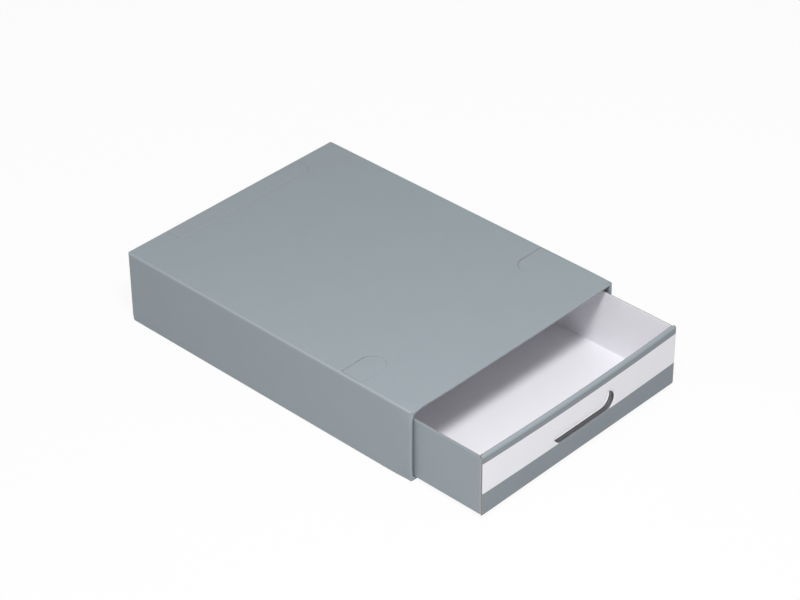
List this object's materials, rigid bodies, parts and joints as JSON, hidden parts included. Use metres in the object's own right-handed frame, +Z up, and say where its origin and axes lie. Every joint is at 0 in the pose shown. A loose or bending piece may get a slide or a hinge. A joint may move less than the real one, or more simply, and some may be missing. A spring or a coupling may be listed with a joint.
{
  "type": "file box with drawer",
  "caption": "Flat file box of corrugated board: an open-fronted sleeve, a sliding drawer with a hooked handle slot, and press-out tongues that lock stacked boxes.",
  "frame": {"origin": "centre of the sleeve's footprint, on the surface the box stands on", "axes": "+Z up; the drawer slides out along -Y; +X is to the right for someone facing the drawer"},
  "size_m": [0.26, 0.4267, 0.074],
  "materials": {
    "grey_board": "matt blue-grey print on coated corrugated board",
    "white_board": "matt white liner of the same board"
  },
  "bodies": {
    "sleeve": {"sleeve_top_panel": "grey_board", "sleeve_bottom_panel": "grey_board", "sleeve_left_wall": "grey_board", "sleeve_right_wall": "grey_board", "sleeve_glue_flap": "grey_board", "sleeve_rear_panel": "grey_board", "front_hem_top": "grey_board", "front_hem_bottom": "grey_board", "front_hem_left": "grey_board", "front_hem_right": "grey_board", "rear_tuck_lug_left": "grey_board", "rear_tuck_lug_right": "grey_board", "rear_dust_flap_left": "grey_board", "rear_dust_flap_right": "grey_board"},
    "drawer": {"drawer_floor": "white_board", "drawer_left_wall": "grey_board", "drawer_right_wall": "grey_board", "drawer_front_panel": "grey_board", "drawer_front_roll": "grey_board", "drawer_front_lining": "white_board", "drawer_front_flap_left": "grey_board", "drawer_front_flap_right": "grey_board", "drawer_rear_panel": "grey_board", "drawer_rear_roll": "grey_board", "drawer_rear_lining": "white_board", "drawer_rear_flap_left": "grey_board", "drawer_rear_flap_right": "grey_board"},
    "left_stacking_tongue": {"stacking_tongue_left": "grey_board"},
    "right_stacking_tongue": {"stacking_tongue_right": "grey_board"},
    "rear_stacking_tongue": {"stacking_tongue_rear": "grey_board"}
  },
  "joints": [
    {"name": "drawer_slide", "type": "slide", "parent": "sleeve", "child": "drawer", "axis": [0, -1, 0], "range_m": [-0.0758, 0.268]},
    {"name": "left_tongue_fold", "type": "hinge", "parent": "sleeve", "child": "left_stacking_tongue", "pos_m": [-0.128, -0.10395, 0.074], "axis": [0, -1, 0], "range_deg": [0, 90]},
    {"name": "right_tongue_fold", "type": "hinge", "parent": "sleeve", "child": "right_stacking_tongue", "pos_m": [0.128, -0.10395, 0.074], "axis": [0, 1, 0], "range_deg": [0, 90]},
    {"name": "rear_tongue_fold", "type": "hinge", "parent": "sleeve", "child": "rear_stacking_tongue", "pos_m": [0, 0.17225, 0.074], "axis": [-1, 0, 0], "range_deg": [0, 90]}
  ]
}
